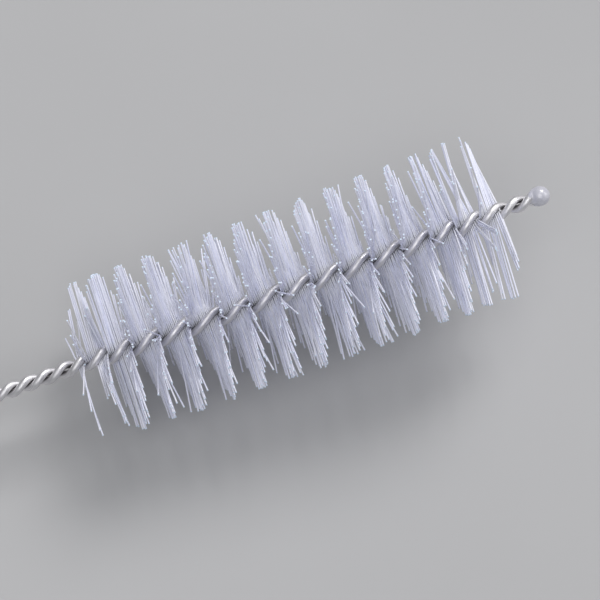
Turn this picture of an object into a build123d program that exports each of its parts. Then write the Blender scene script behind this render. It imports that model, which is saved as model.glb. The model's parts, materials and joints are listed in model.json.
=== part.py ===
from build123d import *
import math
import os

# A test tube brush: one steel wire folded in half, its two legs twisted together so that
# they grip nylon bristles, a hanging loop at the fold and a resin bead over the cut ends.
# Millimetres. The stem is built along +X, with x = 0 at the rearmost bristle and the bead
# at the front, and is then laid down as the brush comes to rest on a table.

# Wire
wire_diameter = 1.2
leg_gap = 0.03               # between the two legs where they are twisted tight
handle_length = 112.18       # tight twist from the loop to the rearmost bristle
tip_length = 6.1             # tight twist from the foremost bristle to the cut ends

# Twist: the lay is the length of half a turn, left-handed
handle_lay = 2.84
brush_lay = 4.85
tip_lay = 2.84
opening_start = -8.4         # where the lay begins to lengthen
opening_length = 25.3
closing_start = 52.2         # where it begins to shorten again
closing_length = 23.8

# Hanging loop at the fold
loop_bore = 10.0             # clear width inside the loop
loop_shoulder = 9.5          # from the twist to the loop's centre

# Bristles
brush_length = 68.5
rear_brush_diameter = 24.8
front_brush_diameter = 26.0
bristle_diameter = 0.26
bristle_spacing = 0.04       # clear gap between neighbours along the stem
layer_spacing = 0.02         # clear gap between the layers held side by side
grip_clearance = 0.02        # between the bristles and the legs
thin_rear = 6.5              # length at the rear that holds a single layer
thin_front = 7.0             # the same at the front
swell_length = 6.0           # over which the legs spread to take the full bundle
side_trim = 0.07             # most that a side layer's bristle is cut shorter, as a share
row_count = 15

# Bead on the cut ends
bead_diameter = 3.06
bead_neck_diameter = 1.7
bead_neck_length = 2.2       # from the bead's centre back to its neck
bead_clearance = 0.02        # between the resin and the wire
cut_end_inset = 0.2          # the cut ends stop this far behind the bead's centre

wire_radius = wire_diameter / 2
bristle_radius = bristle_diameter / 2
bristle_pitch = bristle_diameter + bristle_spacing
layer_pitch = bristle_diameter + layer_spacing
bead_centre = brush_length + tip_length + cut_end_inset
curves_per_half_turn = 2
golden_share = (math.sqrt(5) - 1) / 2


def ease(share):
    """A smooth step from 0 to 1."""
    share = min(1.0, max(0.0, share))
    return share * share * (3 - 2 * share)


def eased_length(share):
    """The integral of the smooth step from 0."""
    if share < 0:
        return 0.0
    if share > 1:
        return share - 0.5
    return share**3 - share**4 / 2


def half_turns(x):
    """Half turns of the twist from the loop to x, from the lay and how it changes."""
    rear, middle, front = 1 / handle_lay, 1 / brush_lay, 1 / tip_lay
    return (
        rear * (x + handle_length)
        + (middle - rear) * opening_length * eased_length((x - opening_start) / opening_length)
        + (front - middle) * closing_length * eased_length((x - closing_start) / closing_length)
    )


def place_of(turns):
    """The x at which the twist has made this many half turns."""
    low, high = -handle_length, bead_centre + bead_diameter
    for _ in range(50):
        middle = (low + high) / 2
        if half_turns(middle) < turns:
            low = middle
        else:
            high = middle
    return low


def leg_offset(x):
    """Distance from the stem's axis to the middle of a leg."""
    tight = wire_radius + leg_gap / 2
    single = wire_radius + bristle_radius + grip_clearance
    full = single + layer_pitch
    held = ease((x + swell_length) / swell_length) - ease((x - brush_length) / swell_length)
    swollen = ease((x - thin_rear) / swell_length + 1)
    swollen -= ease((x - (brush_length - thin_front)) / swell_length)
    return tight + (single - tight) * held + (full - single) * swollen


def leg_point(turns, side):
    """A point on the middle line of one leg; side is 0 or 1."""
    x = place_of(turns)
    angle = math.pi * (side - turns)
    offset = leg_offset(x)
    return Vector(x, offset * math.cos(angle), offset * math.sin(angle))


def leg_course(turns, side):
    """The direction and pace of a leg there, per half turn."""
    nudge = 1e-4
    return (leg_point(turns + nudge, side) - leg_point(turns - nudge, side)) / (2 * nudge)


def leg_line(side, first_x, last_x):
    """The middle line of one leg between two places on the stem, as smoothly joined
    cubic curves that each take about a quarter of a turn."""
    first = half_turns(first_x)
    count = math.ceil((half_turns(last_x) - first) * curves_per_half_turn)
    step = (half_turns(last_x) - first) / count
    curves = []
    for i in range(count):
        start, end = first + step * i, first + step * (i + 1)
        a, b = leg_point(start, side), leg_point(end, side)
        pull_a, pull_b = leg_course(start, side) * step / 3, leg_course(end, side) * step / 3
        curves.append(Bezier(a, a + pull_a, b - pull_b, b))
    return curves


def make_wire():
    """The whole wire: back along one leg, round the loop and out along the other."""
    last_x = brush_length + tip_length
    leg_a = leg_line(0, -handle_length, last_x)
    leg_b = leg_line(1, -handle_length, last_x)
    radius = loop_bore / 2 + wire_radius
    centre = -handle_length - loop_shoulder
    shoulder = centre + 0.64 * loop_shoulder
    rise = 0.4 * wire_radius
    loop = Spline(
        leg_a[0] @ 0,
        Vector(shoulder, 0.48 * radius, rise),
        Vector(centre, radius, 0),
        Vector(centre - radius, 0, 0),
        Vector(centre, -radius, 0),
        Vector(shoulder, -0.48 * radius, -rise),
        leg_b[0] @ 0,
        tangents=((leg_a[0] % 0) * -1, leg_b[0] % 0),
    )
    path = Wire(leg_a + [loop] + leg_b)
    section = Plane(origin=path @ 0, z_dir=path % 0) * Circle(wire_radius)
    return sweep(section, path=path).solid()


def make_bead():
    """A drop of resin with a hole for each leg."""
    radius = bead_diameter / 2
    neck = bead_neck_diameter / 2
    lean = math.asin((radius - neck) / bead_neck_length)
    seam = (bead_centre - radius * math.sin(lean), radius * math.cos(lean))
    crown = (bead_centre + radius * math.sin(math.pi / 4), radius * math.cos(math.pi / 4))
    back = bead_centre - bead_neck_length
    nose = (bead_centre + radius, 0)
    outline = [
        Line((back, 0), (back, neck)),
        Line((back, neck), seam),
        ThreePointArc(seam, crown, nose),
        Line(nose, (back, 0)),
    ]
    drop = revolve(make_face(outline), axis=Axis.X)
    for side in range(2):
        hole_end = brush_length + tip_length + bead_clearance
        hole_line = Wire(leg_line(side, back - wire_diameter, hole_end))
        mouth = Plane(origin=hole_line @ 0, z_dir=hole_line % 0)
        drop -= sweep(mouth * Circle(wire_radius + bead_clearance), path=hole_line)
    return drop.solid()


def make_bristle(x, layer, trim):
    """One straight bristle, square to the stem and to the line through both legs."""
    turns = half_turns(x)
    across = math.pi * (0.5 - turns)
    along = Vector(0, math.cos(across), math.sin(across))
    beside = Vector(0, -math.sin(across), math.cos(across))
    share = x / brush_length
    reach = (rear_brush_diameter + (front_brush_diameter - rear_brush_diameter) * share) / 2
    half_length = reach * (1 - trim)
    foot = Vector(x, 0, 0) + beside * (layer * layer_pitch) - along * half_length
    section = Plane(origin=foot, x_dir=(1, 0, 0), z_dir=along) * RegularPolygon(bristle_radius, 6)
    return extrude(section, amount=2 * half_length).solid()


def make_rows():
    """The bristles, slot by slot along the stem, gathered in rows of about half a turn."""
    rows = [[] for _ in range(row_count)]
    slots = int((brush_length - bristle_diameter) / bristle_pitch)
    first_x = (brush_length - (slots - 1) * bristle_pitch) / 2
    first_turn = half_turns(0)
    turns_held = half_turns(brush_length) - first_turn
    for slot in range(slots):
        x = first_x + slot * bristle_pitch
        row = rows[int(row_count * (half_turns(x) - first_turn) / turns_held)]
        row.append(make_bristle(x, 0, 0))
        if thin_rear < x < brush_length - thin_front:
            for layer in (-1, 1):
                trim = side_trim * ((2 * slot + layer) * golden_share % 1)
                row.append(make_bristle(x, layer, trim))
    return rows


def lay_down(nodes):
    """Lays the brush on the table: the line that touches the loop's end and the lowest
    bristle becomes level, and the origin goes to the middle of the bottom."""
    loop_end = -handle_length - loop_shoulder - loop_bore / 2 - wire_radius
    steepest, contact = 0, None
    corners = [v.center() for name, node in nodes.items() if "row" in name for v in node.vertices()]
    for corner in corners:
        run = corner.X - loop_end
        slope = math.atan2(corner.Z, run) + math.asin(wire_radius / math.hypot(run, corner.Z))
        if slope < steepest:
            steepest, contact = slope, corner
    tilt = math.degrees(steepest)
    turn = Location((0, 0, 0), (0, tilt, 0))
    turned = {name: turn * node for name, node in nodes.items()}
    box = Compound(list(turned.values())).bounding_box()
    floor = (turn * Vertex(contact)).center().Z
    middle = box.center()
    print("stem raised at the front by", round(-tilt, 2), "degrees")
    shift = Location((-middle.X, -middle.Y, -floor))
    return {name: shift * node for name, node in turned.items()}


def main():
    nodes = {"twisted_wire": make_wire(), "tip_bead": make_bead()}
    for number, row in enumerate(make_rows(), start=1):
        nodes[f"bristle_row_{number:02d}"] = Compound(row)
    os.makedirs("parts", exist_ok=True)
    for name, node in lay_down(nodes).items():
        export_step(node, f"parts/{name}.step")


main()
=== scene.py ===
"""A test tube brush lying on a pale table.

Lengths are millimetres in the brush's own directions: x along the stem from the rearmost
bristle towards the bead, y across, z up from the stem. place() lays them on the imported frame.
"""
import json

import bpy
import numpy as np
from mathutils import Matrix


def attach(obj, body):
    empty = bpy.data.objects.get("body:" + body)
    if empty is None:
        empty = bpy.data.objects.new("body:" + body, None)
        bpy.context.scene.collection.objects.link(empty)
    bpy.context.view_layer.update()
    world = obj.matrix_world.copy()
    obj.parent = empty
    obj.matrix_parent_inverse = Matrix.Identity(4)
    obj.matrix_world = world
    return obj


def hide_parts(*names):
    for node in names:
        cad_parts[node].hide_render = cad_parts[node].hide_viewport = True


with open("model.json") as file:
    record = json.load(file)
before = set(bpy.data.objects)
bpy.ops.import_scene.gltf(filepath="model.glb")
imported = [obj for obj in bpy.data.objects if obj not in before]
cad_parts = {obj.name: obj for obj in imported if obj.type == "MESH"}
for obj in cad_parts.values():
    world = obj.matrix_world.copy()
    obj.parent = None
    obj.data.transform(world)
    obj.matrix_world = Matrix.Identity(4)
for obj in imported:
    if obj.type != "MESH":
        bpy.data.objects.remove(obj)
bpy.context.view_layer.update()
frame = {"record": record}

MM = 0.001

# The wire and its twist, as the part has them
WIRE_RADIUS = 0.6
LEG_GAP = 0.03
HANDLE_LENGTH = 112.18
TIP_LENGTH = 6.1
HANDLE_LAY, BRUSH_LAY, TIP_LAY = 2.84, 4.85, 2.84
OPENING_START, OPENING_LENGTH = -8.4, 25.3
CLOSING_START, CLOSING_LENGTH = 52.2, 23.8
LOOP_BORE = 10.0
LOOP_SHOULDER = 9.5
SHOULDER_PLACE = 0.64        # of the way from the loop's centre to the twist
SHOULDER_WIDTH = 0.48        # share of the loop's radius there
SHOULDER_RISE = 0.4          # share of the wire's radius there
STEM_BOW = 0.38              # how far the stem bows towards the near side
BOW_RISE = 25.0              # over which it bows out, and again back at the front
LEG_STATIONS, LOOP_STATIONS, WIRE_SIDES = 640, 72, 20

# The bristles
BRUSH_LENGTH = 68.5
REAR_REACH, FRONT_REACH = 12.4, 13.0
LOWER_LONGER = 1.02          # the photo's lower halves, against the upper ones
BRISTLE_RADIUS = 0.13
BRISTLE_SIDES = 6
LAYER_PITCH = 0.28
GRIP_CLEARANCE = 0.02
THIN_REAR, THIN_FRONT = 6.5, 7.0
SWELL_LENGTH = 6.0
ROW_COUNT = 15
SLOT_PITCH = 0.28            # from one slot of bristles to the next
FIRST_FOOT, END_ROOM = 0.28, 0.15
FOOT_SCATTER = 0.04
PAIR_ROOM, FULL_ROOM = 0.4, 0.97    # room between the legs for two and three, in layers
GRIP_BEND = 1.2              # distance over which a bristle turns out of the grip
NEAR_STATIONS = ((1.1, 0.3), (2.4, 0.55))   # millimetres out, but at most a share of a half
FAR_STATIONS = (0.7, 0.985, 1.0)            # shares of a half
CUT_END = (0.986, 0.99)      # share of a half where the cut end's look begins and is full
CUT_FLARE = 1.12             # how much the cutter spreads a cut end
LAYER_LEAN = 1.6             # degrees that a side layer is pushed along the stem
LEAN_SCATTER = 0.45          # degrees, for each half of a bristle
TURN_SCATTER = 2.0           # degrees about the stem
LENGTH_SCATTER = 0.012
CLUMP_SIZE = 4.5             # neighbours that lean together
CLUMP_GAP = 3                # slots left empty, past which a new clump begins
CLUMP_LEAN = 1.1
CLUMP_TURN = 2.0
TIP_GATHER = 0.15            # share of its place that a tip gives up to its clump's middle
STRAY_SHARE = 0.12
STRAY_LEAN = (2.5, 6.5)
STUB_SHARE = 0.03
STUB_LOSS = (0.05, 0.25)
FLOOR_MARGIN = 0.16
SEED = 11

# Loose tufts at both ends. A row is a bristle's foot and tip along the stem, the degrees that
# it points towards the viewer's side, and its share of the full length. Rows between are
# read off in proportion, and two close feet part one tuft from the next.
REAR_UPPER = (
    (0.00, 0.0, -10, 0.38),
    (0.40, 0.0, -10, 0.38),
    (0.45, 1.25, -46, 1.0),
    (0.80, 1.30, -46, 1.0),
    (0.85, 2.20, -47, 1.0),
    (1.30, 2.25, -50, 1.0),
    (1.35, 1.15, 75, 1.0),
    (1.80, 1.55, 63, 1.0),
    (2.05, 1.65, 48, 1.0),
    (2.10, 3.00, 6, 1.0),
    (2.80, 3.40, 3, 1.0),
    (3.30, 3.85, -6, 1.0),
    (3.70, 4.10, -26, 1.0),
    (4.50, 4.30, -46, 1.0),
    (4.60, 4.44, 63, 1.0),
    (4.90, 4.56, 51, 1.0),
    (5.20, 4.72, 38, 1.0),
    (5.25, 5.60, 28, 1.0),
    (5.90, 6.40, 8, 1.0),
    (7.20, 7.50, 0, 1.0),
    (7.90, 8.20, -8, 1.0),
    (8.10, 8.50, -31, 1.0),
    (8.60, 8.90, -36, 1.0),
)
REAR_LOWER = (
    (0.00, 0.4, 28, 1.0),
    (0.45, 0.4, 28, 1.0),
    (0.70, 0.3, 48, 1.0),
    (0.95, 0.2, 60, 1.0),
    (1.20, 0.2, 75, 1.0),
    (1.25, 1.3, 80, 0.08),
    (3.00, 3.0, 0, 0.08),
    (3.05, 3.3, 64, 1.0),
    (3.35, 3.4, 62, 1.0),
    (3.40, 4.3, 57, 1.0),
    (3.70, 4.7, 41, 1.0),
    (3.95, 4.5, 29, 1.0),
    (4.30, 4.5, 31, 1.0),
    (4.35, 4.5, 60, 1.0),
    (5.10, 5.1, 82, 1.0),
    (5.15, 5.1, -56, 1.0),
    (5.40, 4.6, -41, 1.0),
    (5.70, 5.0, -30, 1.0),
    (6.10, 5.5, -14, 1.0),
    (6.60, 6.4, -6, 1.0),
    (7.20, 6.7, 4, 1.0),
    (7.25, 7.4, 20, 1.0),
    (8.00, 7.95, 43, 1.0),
    (8.60, 8.5, 66, 1.0),
)
FRONT_UPPER = (
    (57.60, 57.0, 60, 1.0),
    (58.20, 57.8, 22, 1.0),
    (58.60, 58.1, 8, 1.0),
    (59.20, 58.3, 0, 1.0),
    (59.25, 59.1, 5, 1.0),
    (59.80, 59.3, -20, 1.0),
    (60.30, 60.2, -37, 1.0),
    (61.10, 60.8, -60, 1.0),
    (61.15, 60.5, 67, 1.0),
    (61.50, 60.8, 54, 1.0),
    (61.55, 61.2, 20, 1.0),
    (62.02, 61.4, 10, 1.0),
    (62.07, 62.4, 66, 1.0),
    (62.55, 63.2, 46, 1.0),
    (62.60, 63.4, 8, 1.0),
    (63.10, 63.6, 0, 1.0),
    (63.15, 61.35, 22, 1.0),
    (63.45, 61.55, 8, 1.0),
    (63.95, 61.95, -10, 1.0),
    (64.00, 63.6, -15, 1.0),
    (64.80, 64.0, -48, 1.0),
    (64.85, 65.4, 82, 1.0),
    (65.20, 65.7, 70, 1.0),
    (65.50, 66.0, 58, 1.0),
    (65.80, 65.9, 29, 1.0),
    (66.20, 66.1, 10, 1.0),
    (66.60, 66.1, -3, 1.0),
    (66.65, 67.3, -24, 1.0),
    (67.40, 67.5, -30, 1.0),
    (67.80, 67.7, -38, 1.0),
    (68.40, 67.8, -44, 1.0),
)
FRONT_LOWER = (
    (57.60, 57.3, -30, 1.0),
    (58.00, 57.5, -18, 1.0),
    (58.60, 58.1, -5, 1.0),
    (59.50, 58.7, 3, 1.0),
    (60.10, 59.4, 42, 1.0),
    (60.60, 60.0, 66, 1.0),
    (61.15, 61.4, 78, 1.0),
    (61.20, 61.3, -54, 1.0),
    (61.60, 61.3, -52, 1.0),
    (61.65, 61.4, -18, 1.0),
    (62.30, 61.6, -10, 1.0),
    (62.60, 62.0, 0, 1.0),
    (63.10, 62.1, 3, 1.0),
    (63.15, 62.75, 39, 1.0),
    (63.80, 63.1, 28, 1.0),
    (63.85, 65.3, 69, 1.0),
    (64.30, 65.4, 70, 1.0),
    (64.35, 66.1, 79, 1.0),
    (64.80, 66.2, 80, 1.0),
    (64.85, 65.1, -54, 1.0),
    (65.10, 64.9, -38, 1.0),
    (65.30, 64.35, -5, 1.03),
    (65.90, 64.6, 5, 1.03),
    (65.95, 65.4, -8, 1.03),
    (66.60, 65.8, 0, 1.03),
    (67.30, 66.4, 2, 1.03),
    (67.35, 67.2, 45, 1.0),
    (67.80, 67.6, 43, 1.0),
    (68.40, 67.9, 54, 1.0),
)
REAR_LOOSE, FRONT_LOOSE = 8.6, 57.6
LOOSE_BLEND = 1.2
LOOSE_SCATTER = 0.1

# The bead
BEAD_RADIUS = 1.53
BEAD_NECK_RADIUS = 0.4
BEAD_NECK_LENGTH = 2.2
NECK_FILM = -0.04            # resin over the legs at the neck; below 0 it lies inside them
FILM_GROWTH = 0.16           # how much thicker it is at the ball
COVER_END = 0.6              # where the legs' shape is lost in the ball, in radii past its centre
BLEND_POWER = 10
CONE_STATIONS, BALL_STATIONS, BEAD_SIDES = 12, 30, 48
NOSE_ANGLE = 0.04            # radians left for the small flat cap at the nose
CUT_END_INSET = 0.2
BEAD_CENTRE = BRUSH_LENGTH + TIP_LENGTH + CUT_END_INSET

# The photograph's view
PHOTO_SIZE = 600
PHOTO_PIXELS_PER_MM = 6.6
PHOTO_BEAD = (539.9, 195.9)
STEM_RISE = 20.15            # degrees that the stem rises to the right
VIEW_TILT = 20.3             # degrees from straight above, towards the near side
CAMERA_DISTANCE = 0.6

# Light: each lamp's direction, width in degrees, watts a square metre and colour
LAMPS = {
    "key_lamp": ((0.4, 0.4, 0.64), 28, 1.85, (1, 0.99, 0.99)),
    "front_lamp": ((-0.15, -0.3, 0.8), 45, 0.95, (0.99, 0.99, 1)),
    "side_lamp": ((0.85, -0.15, 0.4), 40, 0.55, (0.99, 0.99, 1)),
}
SURROUND_LIGHT, SURROUND_SEEN = 0.3, 0.55
SURROUND_COLOUR = (0.80, 0.82, 0.85)
TABLE_HALF_WIDTH = 3.0       # metres

grip = next(m for m in frame["record"]["mounts"] if m["name"] == "bristle_envelope")
STEM = np.array(grip["axis"])
ACROSS = np.array((0.0, 1.0, 0.0))
RISE = np.cross(STEM, ACROSS)
BRUSH_MIDDLE = np.array(grip["pos_m"])


def ease(share):
    """A smooth step: 3 s squared minus 2 s cubed, held at 0 and 1 outside."""
    share = np.clip(share, 0.0, 1.0)
    return share * share * (3 - 2 * share)


def place(points):
    """Brush millimetres to frame metres: the brush's middle plus each coordinate along
    its own direction, less the stem's bow, which is the bow's depth times a smooth step
    out from the rear and one back to the bead."""
    points = np.asarray(points, float)
    x = points[..., :1]
    bow = STEM_BOW * ease(x / BOW_RISE) * ease((BEAD_CENTRE - x) / BOW_RISE)
    spread = (x - BRUSH_LENGTH / 2) * STEM + (points[..., 1:2] - bow) * ACROSS
    return BRUSH_MIDDLE + (spread + points[..., 2:3] * RISE) * MM


def eased_length(share):
    """The smooth step's integral: s cubed minus half s to the fourth, then straight."""
    inside = np.clip(share, 0.0, 1.0)
    return inside**3 - inside**4 / 2 + np.maximum(share - 1.0, 0.0)


def half_turns(x):
    """Half turns of the twist from the loop to x: the rates of the handle, brush and tip,
    blended by smooth steps."""
    rear, middle, front = 1 / HANDLE_LAY, 1 / BRUSH_LAY, 1 / TIP_LAY
    opened = OPENING_LENGTH * eased_length((x - OPENING_START) / OPENING_LENGTH)
    closed = CLOSING_LENGTH * eased_length((x - CLOSING_START) / CLOSING_LENGTH)
    return rear * (x + HANDLE_LENGTH) + (middle - rear) * opened + (front - middle) * closed


def leg_offset(x):
    """Distance from the stem's axis to the middle of a leg, swollen by the bristles."""
    tight = WIRE_RADIUS + LEG_GAP / 2
    single = WIRE_RADIUS + BRISTLE_RADIUS + GRIP_CLEARANCE
    held = ease((x + SWELL_LENGTH) / SWELL_LENGTH) - ease((x - BRUSH_LENGTH) / SWELL_LENGTH)
    swollen = ease((x - THIN_REAR) / SWELL_LENGTH + 1)
    swollen = swollen - ease((x - (BRUSH_LENGTH - THIN_FRONT)) / SWELL_LENGTH)
    return tight + (single - tight) * held + LAYER_PITCH * swollen


def leg_angle(x):
    """Angle of the first leg about the stem, from across towards up; left-handed."""
    return -np.pi * half_turns(x)


def unit(vectors):
    """Each vector divided by its own length."""
    return vectors / np.linalg.norm(vectors, axis=-1, keepdims=True)


def sides_of(count):
    """Angles of the points round a section."""
    return np.arange(count) * (2 * np.pi / count)


def tubes(lines, radius, sides, normals):
    """Round sections carried along lines: point = line + radius (a cos p + b sin p), where
    a is the given normal made square to the line and b is square to both. The radius is one
    number or one for each station."""
    run = unit(np.gradient(lines, axis=-2))
    a = unit(normals - run * (normals * run).sum(-1, keepdims=True))
    b = np.cross(run, a)
    turn = sides_of(sides)[:, None]
    ring = np.cos(turn) * a[..., None, :] + np.sin(turn) * b[..., None, :]
    return lines[..., None, :] + np.asarray(radius)[..., None, None] * ring


def tube_piece(name, grid, along, marks):
    """A mesh of closed tubes: quads between neighbouring points of each tube's grid, and a
    flat cap at each end. along is the second UV coordinate, marks are point attributes."""
    count, stations, sides = grid.shape[:3]
    first = (np.arange(count) * stations * sides)[:, None, None]
    ring = (np.arange(stations - 1) * sides)[None, :, None]
    here = np.arange(sides)[None, None, :]
    beside = (here + 1) % sides
    corners = [ring + here, ring + beside, ring + sides + beside, ring + sides + here]
    quads = np.stack([first + c for c in corners], -1).reshape(-1, 4)
    start_caps = (first[:, 0] + here[0, :, ::-1]).reshape(count, sides)
    end_caps = (first[:, 0] + (stations - 1) * sides + here[0]).reshape(count, sides)
    loops = np.concatenate([quads.ravel(), start_caps.ravel(), end_caps.ravel()])
    starts = np.concatenate([
        np.arange(len(quads)) * 4,
        quads.size + np.arange(2 * count) * sides,
    ])
    mesh = bpy.data.meshes.new(name)
    mesh.vertices.add(count * stations * sides)
    mesh.vertices.foreach_set("co", place(grid).astype(np.float32).ravel())
    mesh.loops.add(len(loops))
    mesh.loops.foreach_set("vertex_index", loops.astype(np.int32))
    mesh.polygons.add(len(starts))
    mesh.polygons.foreach_set("loop_start", starts.astype(np.int32))
    smooth = np.arange(len(starts)) < len(quads)
    mesh.polygons.foreach_set("use_smooth", smooth)
    mesh.update()
    around = np.stack([here, here + 1, here + 1, here], -1) / sides
    around = np.broadcast_to(around, (count, stations - 1, sides, 4))
    low, high = along[:, :-1, None, None], along[:, 1:, None, None]
    step = np.array([0, 0, 1, 1])
    lengthwise = np.broadcast_to(low + (high - low) * step, around.shape)
    uv = np.zeros((len(loops), 2))
    uv[: quads.size] = np.stack([around, lengthwise], -1).reshape(-1, 2)
    layer = mesh.uv_layers.new(name="along_and_around")
    layer.data.foreach_set("uv", uv.astype(np.float32).ravel())
    for mark, values in marks.items():
        values = values if values.ndim == 3 else values[..., None]
        spread = np.broadcast_to(values, grid.shape[:3])
        attribute = mesh.attributes.new(mark, "FLOAT", "POINT")
        attribute.data.foreach_set("value", spread.astype(np.float32).ravel())
    mesh.validate()
    piece = bpy.data.objects.new(name, mesh)
    bpy.context.scene.collection.objects.link(piece)
    return piece


def leg_line(side, x):
    """The middle line of one leg: the stem's axis plus the offset, turned to its angle."""
    angle = leg_angle(x) + np.pi * side
    offset = leg_offset(x)
    return np.stack([x, offset * np.cos(angle), offset * np.sin(angle)], -1)


def smooth_curve(points, start, end, samples):
    """A curve through the points with given end directions: on each span the cubic that
    joins its ends and their slopes, the slopes chosen so that curvature is continuous."""
    gaps = np.linalg.norm(np.diff(points, axis=0), axis=1)
    knots = np.concatenate([[0.0], np.cumsum(gaps)])
    count = len(points)
    system, right = np.zeros((count, count)), np.zeros((count, 3))
    system[0, 0] = system[-1, -1] = 1.0
    right[0], right[-1] = start, end
    inner = np.arange(1, count - 1)
    system[inner, inner - 1] = gaps[inner]
    system[inner, inner] = 2 * (gaps[inner - 1] + gaps[inner])
    system[inner, inner + 1] = gaps[inner - 1]
    rates = np.diff(points, axis=0) / gaps[:, None]
    right[inner] = 3 * (gaps[inner, None] * rates[inner - 1] + gaps[inner - 1, None] * rates[inner])
    slopes = np.linalg.solve(system, right)
    at = np.linspace(0.0, knots[-1], samples)
    span = np.clip(np.searchsorted(knots, at, side="right") - 1, 0, count - 2)
    s = ((at - knots[span]) / gaps[span])[:, None]
    pull = gaps[span, None]
    return (
        (2 * s**3 - 3 * s**2 + 1) * points[span]
        + (s**3 - 2 * s**2 + s) * pull * slopes[span]
        + (3 * s**2 - 2 * s**3) * points[span + 1]
        + (s**3 - s**2) * pull * slopes[span + 1]
    )


def make_wire():
    """The one wire: back along the first leg, round the loop and out along the second. Its
    crease mark, the square of how far a point faces the stem's axis from 0 to 1, places painted
    shade."""
    last = BRUSH_LENGTH + TIP_LENGTH
    turns = np.linspace(half_turns(-HANDLE_LENGTH), half_turns(last), LEG_STATIONS)
    places = np.linspace(-HANDLE_LENGTH, last, 20000)
    x = np.interp(turns, half_turns(places), places)
    leg_a, leg_b = leg_line(0, x), leg_line(1, x)
    radius = LOOP_BORE / 2 + WIRE_RADIUS
    centre = -HANDLE_LENGTH - LOOP_SHOULDER
    shoulder = centre + SHOULDER_PLACE * LOOP_SHOULDER
    width = SHOULDER_WIDTH * radius
    rise = SHOULDER_RISE * WIRE_RADIUS
    loop_points = np.array([
        leg_a[0],
        (shoulder, width, rise),
        (centre, radius, 0),
        (centre - radius, 0, 0),
        (centre, -radius, 0),
        (shoulder, -width, -rise),
        leg_b[0],
    ])
    away, back = unit(leg_a[0] - leg_a[1]), unit(leg_b[1] - leg_b[0])
    loop = smooth_curve(loop_points, away, back, LOOP_STATIONS)
    line = np.concatenate([leg_a[::-1], loop[1:-1], leg_b])
    angle = leg_angle(x)
    normal = np.stack([0 * x, -np.sin(angle), np.cos(angle)], -1)
    flat = np.tile(normal[0], (len(loop) - 2, 1))
    normals = np.concatenate([normal[::-1], flat, normal])
    grid = tubes(line, WIRE_RADIUS, WIRE_SIDES, normals)[None]
    length = np.concatenate([[0.0], np.cumsum(np.linalg.norm(np.diff(line, axis=0), axis=1))])
    inward = -unit(line * (0, 1, 1))
    inward[len(x):-len(x)] = 0
    facing = ((grid[0] - line[:, None]) * inward[:, None]).sum(-1) / WIRE_RADIUS
    marks = {"crease": np.clip(facing, 0, 1)[None] ** 2}
    return tube_piece("wire_twisted_and_looped", grid, length[None], marks)


def make_bead():
    """The drop on the cut ends: about the stem, the larger of the drop's own radius and
    the reach of the coated legs, merged by a high power mean."""
    lean = np.arcsin((BEAD_RADIUS - BEAD_NECK_RADIUS) / BEAD_NECK_LENGTH)
    seam = BEAD_CENTRE - BEAD_RADIUS * np.sin(lean)
    back = BEAD_CENTRE - BEAD_NECK_LENGTH
    ball = np.linspace(-lean, np.pi / 2 - NOSE_ANGLE, BALL_STATIONS)
    neck_x = np.linspace(back, seam, CONE_STATIONS)[:-1]
    x = np.concatenate([neck_x, BEAD_CENTRE + BEAD_RADIUS * np.sin(ball)])
    cone = BEAD_NECK_RADIUS + (x - back) * np.tan(lean)
    sphere = np.sqrt(np.maximum(BEAD_RADIUS**2 - (x - BEAD_CENTRE) ** 2, 0))
    drop = np.where(x < seam, cone, sphere)[:, None]
    film = NECK_FILM + FILM_GROWTH * ease((x - back) / (seam - back))
    fade = ease((BEAD_CENTRE + COVER_END * BEAD_RADIUS - x) / BEAD_RADIUS)
    turn = sides_of(BEAD_SIDES)[None, :]
    reach = np.zeros((len(x), BEAD_SIDES))
    for side in range(2):
        off = turn - (leg_angle(x) + np.pi * side)[:, None]
        off = np.arctan2(np.sin(off), np.cos(off))
        thick = (WIRE_RADIUS + film)[:, None]
        offset = leg_offset(x)[:, None]
        chord = thick**2 - (offset * np.sin(off)) ** 2
        cover = offset * np.cos(off) + np.sqrt(np.maximum(chord, 0))
        cover = np.where((chord > 0) & (np.cos(off) > 0), cover, 0)
        reach = np.maximum(reach, cover * fade[:, None])
    radius = (drop**BLEND_POWER + reach**BLEND_POWER) ** (1 / BLEND_POWER)
    radius = np.minimum(radius, BEAD_RADIUS)
    grid = np.stack([
        np.broadcast_to(x[:, None], radius.shape),
        radius * np.cos(turn),
        radius * np.sin(turn),
    ], -1)[None]
    return tube_piece("bead_on_cut_ends", grid, x[None] - back, {})


def clumps(foot, layer, rng):
    """Parts each layer into runs of about CLUMP_SIZE neighbours. Gives each bristle the
    number of its run, the run's middle foot, and the count of runs."""
    order = np.lexsort((foot, layer))
    apart = np.abs(np.diff(foot[order], prepend=foot[order[0]])) > CLUMP_GAP * SLOT_PITCH
    run = np.empty(len(foot), int)
    run[order] = np.cumsum(apart | (rng.random(len(foot)) < 1 / CLUMP_SIZE))
    middle = np.bincount(run, foot) / np.maximum(np.bincount(run), 1)
    return run, middle[run], run.max() + 1


def loose(foot, table):
    """A table of tufts read off at each foot: tip, degrees towards the viewer, length."""
    rows = np.array(table)
    return [np.interp(foot, rows[:, 0], rows[:, column]) for column in (1, 2, 3)]


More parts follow.
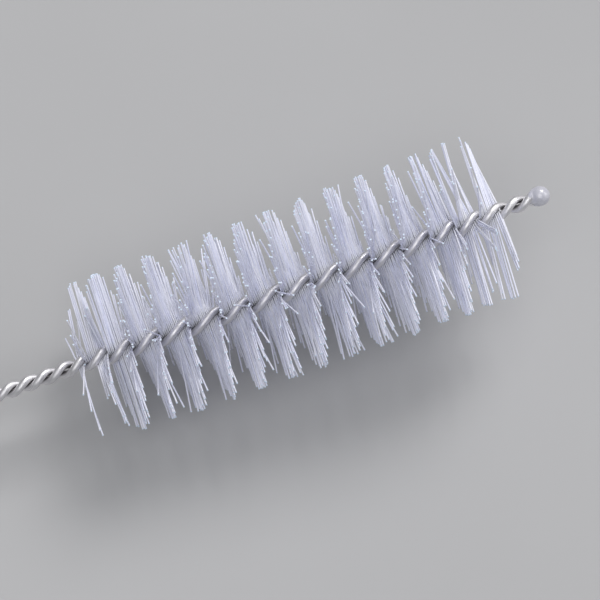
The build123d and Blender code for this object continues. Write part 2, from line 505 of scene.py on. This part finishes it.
def bristle_courses(foot, layer, rng):
    """For the lower and upper half of each bristle: where its tip is along the stem, the
    degrees that it points towards the viewer as the twist has it and as it really lies, and
    its length. A tip stands at foot + reach times tan(lean), drawn a little towards the
    middle of its clump; the ends of the brush follow their own tables."""
    turn = np.degrees(leg_angle(foot)) + 90 - VIEW_TILT
    upper = (turn + 90) % 180 - 90
    ahead = np.where((turn + 90) % 360 < 180, 1, -1)
    twist = np.stack([-upper, upper], 1)
    side = np.stack([-layer * ahead, layer * ahead], 1)
    shape = side.shape
    reach = (REAR_REACH + (FRONT_REACH - REAR_REACH) * foot / BRUSH_LENGTH)[:, None]
    reach = reach * (LOWER_LONGER, 1.0)
    lean = side * LAYER_LEAN + rng.normal(0, LEAN_SCATTER, shape)
    stray = rng.random(shape) < STRAY_SHARE
    lean = lean + np.sign(side) * stray * rng.uniform(*STRAY_LEAN, shape)
    towards = twist + rng.normal(0, TURN_SCATTER, shape)
    short = np.abs(rng.normal(0, LENGTH_SCATTER, shape))
    short = short + (rng.random(shape) < STUB_SHARE) * rng.uniform(*STUB_LOSS, shape)
    gather = np.zeros(shape)
    for half in range(2):
        run, middle, count = clumps(foot, layer, rng)
        lean[:, half] += rng.normal(0, CLUMP_LEAN, count)[run]
        towards[:, half] += rng.normal(0, CLUMP_TURN, count)[run]
        short[:, half] += np.abs(rng.normal(0, LENGTH_SCATTER, count))[run]
        gather[:, half] = (middle - foot) * TIP_GATHER
    tip = foot[:, None] + reach * np.tan(np.radians(lean)) + gather
    whole = np.ones(shape)
    scatter = LOOSE_SCATTER * (1 + np.abs(layer))
    for tables, into in (
        ((REAR_LOWER, REAR_UPPER), (REAR_LOOSE - foot) / LOOSE_BLEND),
        ((FRONT_LOWER, FRONT_UPPER), (foot - FRONT_LOOSE) / LOOSE_BLEND),
    ):
        weight = ease(into)
        for half, table in enumerate(tables):
            loose_tip, loose_towards, loose_whole = loose(foot, table)
            loose_tip = loose_tip + rng.normal(0, scatter)
            loose_towards = loose_towards + rng.normal(0, TURN_SCATTER, len(foot))
            tip[:, half] += weight * (loose_tip - tip[:, half])
            towards[:, half] += weight * (loose_towards - towards[:, half])
            whole[:, half] += weight * (loose_whole - whole[:, half])
    return tip, twist, towards, reach * whole * (1 - short)


def outward(angle):
    """Unit directions across the stem for the lower and upper halves, turned by the view's
    tilt: minus or plus the cosine up the picture, and the sine towards the viewer."""
    rise, near = np.cos(np.radians(angle)) * (-1, 1), np.sin(np.radians(angle))
    tilt = np.radians(VIEW_TILT)
    return np.stack([
        rise * np.cos(tilt) - near * np.sin(tilt),
        rise * np.sin(tilt) + near * np.cos(tilt),
    ], -1)


def clear_of_table(foot, tip, towards, length):
    """Lengths cut where a tip would come under the table."""
    ends = np.concatenate([tip[..., None], outward(towards) * length[..., None]], -1)
    core = np.stack([foot, 0 * foot, 0 * foot], -1)[:, None]
    start = place(core)[..., 2] / MM
    drop = np.maximum(start - place(ends)[..., 2] / MM, 1e-6)
    return length * np.minimum(1, (start - FLOOR_MARGIN) / drop)


def bristle_lines(foot, layer, rng):
    """Middle lines of the bristles. A point at distance r along a half lies across the stem
    at m times the twist's direction plus (r - m) times the half's own direction, where
    m = g (1 - exp(-r / g)) for the grip's bend g, and along the stem in the same proportion
    towards its tip. A side layer is shifted across by its pitch."""
    tip, twist, towards, length = bristle_courses(foot, layer, rng)
    length = clear_of_table(foot, tip, towards, length)
    full = length[..., None]
    near = [np.minimum(distance, share * full) for distance, share in NEAR_STATIONS]
    out = np.concatenate(near + [share * full for share in FAR_STATIONS], -1)
    held = GRIP_BEND * (1 - np.exp(-out / GRIP_BEND))
    held_full = GRIP_BEND * (1 - np.exp(-full / GRIP_BEND))
    lean = (tip - foot[:, None])[..., None] / (full - held_full)
    along = foot[:, None, None] + lean * (out - held)
    across = outward(twist)[:, :, None] * held[..., None]
    across = across + outward(towards)[:, :, None] * (out - held)[..., None]
    beside = leg_angle(foot)
    aside = np.stack([np.cos(beside), np.sin(beside)], -1) * (layer * LAYER_PITCH)[:, None]
    across = across + aside[:, None, None]
    halves = np.concatenate([along[..., None], across], -1)
    lines = np.concatenate([halves[:, 0, ::-1], halves[:, 1]], 1)
    share = out / full
    return lines, np.concatenate([share[:, 0, ::-1], share[:, 1]], 1)


def bristle_feet(rng):
    """Places of the bristles along the stem and their layers: three side by side in full
    slots, two where the legs are half closed, and one at the ends."""
    slots = np.arange(FIRST_FOOT, BRUSH_LENGTH - END_ROOM, SLOT_PITCH)
    scatter = rng.uniform(-FOOT_SCATTER, FOOT_SCATTER, 3 * len(slots))
    foot = np.repeat(slots, 3) + scatter
    column = np.tile([-1.0, 0.0, 1.0], len(slots))
    room = (leg_offset(foot) - WIRE_RADIUS - BRISTLE_RADIUS - GRIP_CLEARANCE) / LAYER_PITCH
    pair = (room > PAIR_ROOM) & (room < FULL_ROOM)
    layer = np.where(pair, column / 2, column)
    keep = np.where(pair, column != 0, (column == 0) | (room >= FULL_ROOM))
    return foot[keep], layer[keep]


def make_bristles():
    """The bristles, slot by slot, in one piece for each row of the part."""
    rng = np.random.default_rng(SEED)
    foot, layer = bristle_feet(rng)
    lines, tip = bristle_lines(foot, layer, rng)
    tone = rng.random(len(foot))
    first, last = half_turns(0), half_turns(BRUSH_LENGTH)
    share = (half_turns(foot) - first) / (last - first)
    row = np.clip((share * ROW_COUNT).astype(int), 0, ROW_COUNT - 1)
    radius = BRISTLE_RADIUS * np.where(tip > CUT_END[1], CUT_FLARE, 1.0)
    grid = tubes(lines, radius, BRISTLE_SIDES, np.array([1.0, 0.0, 0.0]))
    steps = np.linalg.norm(np.diff(lines, axis=1), axis=2)
    along = np.concatenate([np.zeros((len(foot), 1)), np.cumsum(steps, axis=1)], 1)
    pieces = {}
    for number in range(ROW_COUNT):
        chosen = row == number
        tones = np.broadcast_to(tone[chosen, None], tip[chosen].shape)
        marks = {"tip": tip[chosen], "tone": tones}
        label = f"{number + 1:02d}"
        piece = tube_piece(f"bristles_{label}", grid[chosen], along[chosen], marks)
        pieces[f"bristle_row_{label}"] = piece
    return pieces


def new_material(name):
    """A node material; gives it, its node tree and its shader."""
    material = bpy.data.materials.new(name)
    material.use_nodes = True
    shader = material.node_tree.nodes["Principled BSDF"]
    return material, material.node_tree, shader


def cloudy_finish():
    """The node group of uneven finish: noise of a given size at a given place, spread
    between a least and a most value."""
    group = bpy.data.node_groups.new("cloudy_finish", "ShaderNodeTree")
    sockets = group.interface
    sockets.new_socket("Place", in_out="INPUT", socket_type="NodeSocketVector")
    for name in ("Scale", "Least", "Most"):
        sockets.new_socket(name, in_out="INPUT", socket_type="NodeSocketFloat")
    sockets.new_socket("Amount", in_out="OUTPUT", socket_type="NodeSocketFloat")
    inside = group.nodes.new("NodeGroupInput")
    outside = group.nodes.new("NodeGroupOutput")
    noise = group.nodes.new("ShaderNodeTexNoise")
    noise.inputs["Detail"].default_value = 3.0
    spread = group.nodes.new("ShaderNodeMapRange")
    spread.inputs["From Min"].default_value = 0.3
    spread.inputs["From Max"].default_value = 0.7
    group.links.new(inside.outputs["Place"], noise.inputs["Vector"])
    group.links.new(inside.outputs["Scale"], noise.inputs["Scale"])
    group.links.new(noise.outputs["Fac"], spread.inputs["Value"])
    group.links.new(inside.outputs["Least"], spread.inputs["To Min"])
    group.links.new(inside.outputs["Most"], spread.inputs["To Max"])
    group.links.new(spread.outputs["Result"], outside.inputs["Amount"])
    return group


def cloudy(tree, place_socket, scale, least, most):
    """A cloudy_finish node in a material, with its own values; gives its output."""
    node = tree.nodes.new("ShaderNodeGroup")
    node.node_tree = CLOUDY
    node.inputs["Scale"].default_value = scale
    node.inputs["Least"].default_value = least
    node.inputs["Most"].default_value = most
    tree.links.new(place_socket, node.inputs["Place"])
    return node.outputs["Amount"]


def object_place(tree):
    """The point's own place in metres."""
    return tree.nodes.new("ShaderNodeTexCoord").outputs["Object"]


def surface_place(tree, around, lengthwise):
    """The point's place on a tube's surface, stretched: turns around and mm along it."""
    uv = tree.nodes.new("ShaderNodeUVMap")
    uv.uv_map = "along_and_around"
    stretch = tree.nodes.new("ShaderNodeMapping")
    stretch.inputs["Scale"].default_value = (around, lengthwise, 1)
    tree.links.new(uv.outputs["UV"], stretch.inputs["Vector"])
    return stretch.outputs["Vector"]


def mark(tree, name, low, high):
    """A point attribute, spread so that low becomes 0 and high becomes 1."""
    attribute = tree.nodes.new("ShaderNodeAttribute")
    attribute.attribute_name = name
    spread = tree.nodes.new("ShaderNodeMapRange")
    spread.inputs["From Min"].default_value = low
    spread.inputs["From Max"].default_value = high
    tree.links.new(attribute.outputs["Fac"], spread.inputs["Value"])
    return spread.outputs["Result"]


def mixed(tree, amount, first, second):
    """Two colours mixed by a socket's value; each is a colour or a socket."""
    mix = tree.nodes.new("ShaderNodeMix")
    mix.data_type = "RGBA"
    tree.links.new(amount, mix.inputs["Factor"])
    for colour, socket in ((first, mix.inputs["A"]), (second, mix.inputs["B"])):
        if isinstance(colour, tuple):
            socket.default_value = (*colour, 1)
        else:
            tree.links.new(colour, socket)
    return mix.outputs["Result"]


def relief(tree, shader, height, strength, depth):
    """Fine relief of a surface; depth is in metres."""
    bump = tree.nodes.new("ShaderNodeBump")
    bump.inputs["Strength"].default_value = strength
    bump.inputs["Distance"].default_value = depth
    tree.links.new(height, bump.inputs["Height"])
    tree.links.new(bump.outputs["Normal"], shader.inputs["Normal"])


def steel_material():
    """Drawn steel wire: fine lines along it, cloudy dull patches, and painted shade, dark in the
    crease between the two legs."""
    material, tree, shader = new_material("drawn_steel")
    shader.inputs["Metallic"].default_value = 1.0
    patches = cloudy(tree, object_place(tree), 420, 0.0, 1.0)
    lines = cloudy(tree, surface_place(tree, 26, 0.35), 1.0, 0.0, 1.0)
    clean = mixed(tree, patches, (0.93, 0.92, 0.935), (0.79, 0.78, 0.80))
    drawn = mixed(tree, lines, clean, (0.70, 0.69, 0.71))
    # painted shade: the crease mark darkens the steel where it faces the stem's axis, between the
    # legs
    painted_crease_shade = mark(tree, "crease", 0.08, 0.7)
    tree.links.new(mixed(tree, painted_crease_shade, drawn, (0.20, 0.19, 0.20)), shader.inputs["Base Color"])
    roughness = cloudy(tree, object_place(tree), 650, 0.42, 0.56)
    tree.links.new(roughness, shader.inputs["Roughness"])
    relief(tree, shader, lines, 0.5, 0.000012)
    return material


def nylon_material():
    """Nylon filaments: each with its own tone from bluish to warm white, faint lines along
    it from the die, painted shade making it greyer near the grip between the legs, and a bright,
    rough cut end."""
    material, tree, shader = new_material("nylon")
    shader.inputs["IOR"].default_value = 1.53
    tone = mixed(tree, mark(tree, "tone", 0.0, 1.0), (0.82, 0.84, 0.99), (0.94, 0.94, 0.995))
    lines = cloudy(tree, surface_place(tree, 6, 0.25), 1.0, 0.0, 0.4)
    drawn = mixed(tree, lines, tone, (0.79, 0.81, 0.96))
    # painted shade: greyer and darker where a bristle is held between the legs
    grip = mark(tree, "tip", 0.16, 0.05)
    held = mixed(tree, grip, drawn, (0.76, 0.77, 0.80))
    cut = mark(tree, "tip", *CUT_END)
    tree.links.new(mixed(tree, cut, held, (0.75, 0.85, 0.99)), shader.inputs["Base Color"])
    roughness = cloudy(tree, object_place(tree), 500, 0.18, 0.32)
    tree.links.new(roughness, shader.inputs["Roughness"])
    relief(tree, shader, lines, 0.3, 0.000006)
    return material


def resin_material():
    """Greyish resin, a little cloudy, with a soft gloss and a faintly dimpled skin."""
    material, tree, shader = new_material("resin")
    shader.inputs["IOR"].default_value = 1.55
    shader.inputs["Specular IOR Level"].default_value = 0.8
    shader.inputs["Coat Weight"].default_value = 0.8
    shader.inputs["Coat Roughness"].default_value = 0.12
    clouds = cloudy(tree, object_place(tree), 900, 0.0, 1.0)
    colour = mixed(tree, clouds, (0.50, 0.50, 0.575), (0.58, 0.58, 0.64))
    tree.links.new(colour, shader.inputs["Base Color"])
    roughness = cloudy(tree, object_place(tree), 1500, 0.2, 0.34)
    tree.links.new(roughness, shader.inputs["Roughness"])
    relief(tree, shader, clouds, 0.25, 0.00004)
    return material


def table_material():
    """A plain pale table top, very slightly uneven."""
    material, tree, shader = new_material("pale_table")
    clouds = cloudy(tree, object_place(tree), 14, 0.0, 1.0)
    colour = mixed(tree, clouds, (0.425, 0.425, 0.43), (0.445, 0.445, 0.45))
    tree.links.new(colour, shader.inputs["Base Color"])
    shader.inputs["Roughness"].default_value = 0.8
    return material


def make_floor():
    """A plain pale table top under the brush."""
    mesh = bpy.data.meshes.new("table_top")
    corners = [(-1, -1, 0), (1, -1, 0), (1, 1, 0), (-1, 1, 0)]
    mesh.from_pydata(TABLE_HALF_WIDTH * np.array(corners), [], [(0, 1, 2, 3)])
    floor = bpy.data.objects.new("table_top", mesh)
    bpy.context.scene.collection.objects.link(floor)
    mesh.materials.append(table_material())


def make_lamp(name, direction, spread, strength, colour):
    """A soft, even studio light from a direction; spread is its width in degrees as the
    brush sees it, strength is in watts a square metre. It only has to point: its own place,
    a metre out, gives nothing to the light."""
    light = bpy.data.lights.new(name, "SUN")
    light.angle = np.radians(spread)
    light.energy = strength
    light.color = colour
    lamp = bpy.data.objects.new(name, light)
    away = unit(np.array(direction))
    side = unit(np.cross((0.0, 0.0, 1.0), away))
    up = np.cross(away, side)
    lamp.matrix_world = Matrix((
        (side[0], up[0], away[0], away[0]),
        (side[1], up[1], away[1], away[1]),
        (side[2], up[2], away[2], away[2]),
        (0, 0, 0, 1),
    ))
    bpy.context.scene.collection.objects.link(lamp)


def make_camera():
    """The photograph's view: square to the stem, from above and a little from the near
    side, rolled so that the stem rises to the right."""
    tilt, roll = np.radians(VIEW_TILT), np.radians(STEM_RISE)
    towards = np.cos(tilt) * RISE - np.sin(tilt) * ACROSS
    upright = np.cross(towards, STEM)
    right = np.cos(roll) * STEM - np.sin(roll) * upright
    up = np.sin(roll) * STEM + np.cos(roll) * upright
    bead = place([BEAD_CENTRE, 0, 0])
    from_middle = np.array([PHOTO_BEAD[0] - PHOTO_SIZE / 2, PHOTO_SIZE / 2 - PHOTO_BEAD[1]])
    from_middle = from_middle / PHOTO_PIXELS_PER_MM * MM
    target = bead - from_middle[0] * right - from_middle[1] * up
    eye = target + towards * CAMERA_DISTANCE
    camera_data = bpy.data.cameras.new("camera")
    view_width = PHOTO_SIZE / PHOTO_PIXELS_PER_MM * MM
    camera_data.lens = camera_data.sensor_width * CAMERA_DISTANCE / view_width
    camera_data.clip_start = 0.01
    camera = bpy.data.objects.new("camera", camera_data)
    camera.matrix_world = Matrix((
        (right[0], up[0], towards[0], eye[0]),
        (right[1], up[1], towards[1], eye[1]),
        (right[2], up[2], towards[2], eye[2]),
        (0, 0, 0, 1),
    ))
    bpy.context.scene.collection.objects.link(camera)
    bpy.context.scene.camera = camera


def make_world():
    """A pale even surround, brighter where the camera sees it than the light that it gives."""
    world = bpy.data.worlds.new("studio")
    world.use_nodes = True
    tree = world.node_tree
    lit = tree.nodes["Background"]
    seen = tree.nodes.new("ShaderNodeBackground")
    for background, strength in ((lit, SURROUND_LIGHT), (seen, SURROUND_SEEN)):
        background.inputs["Color"].default_value = (*SURROUND_COLOUR, 1)
        background.inputs["Strength"].default_value = strength
    path = tree.nodes.new("ShaderNodeLightPath")
    mix = tree.nodes.new("ShaderNodeMixShader")
    tree.links.new(path.outputs["Is Camera Ray"], mix.inputs["Fac"])
    tree.links.new(lit.outputs["Background"], mix.inputs[1])
    tree.links.new(seen.outputs["Background"], mix.inputs[2])
    tree.links.new(mix.outputs["Shader"], tree.nodes["World Output"].inputs["Surface"])
    bpy.context.scene.world = world


def dress(piece, material, slot, *nodes):
    """Gives a piece its material and lets it stand for its nodes."""
    piece.data.materials.append(material)
    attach(piece, "root")
    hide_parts(*nodes)


CLOUDY = cloudy_finish()
make_camera()
make_world()
make_floor()
for name, (direction, spread, strength, colour) in LAMPS.items():
    make_lamp(name, direction, spread, strength, colour)
dress(make_wire(), steel_material(), "steel_wire", "twisted_wire")
dress(make_bead(), resin_material(), "resin_bead", "tip_bead")
nylon = nylon_material()
for node, bristles in make_bristles().items():
    dress(bristles, nylon, "nylon_bristle", node)

bpy.context.scene.view_settings.view_transform = "Standard"
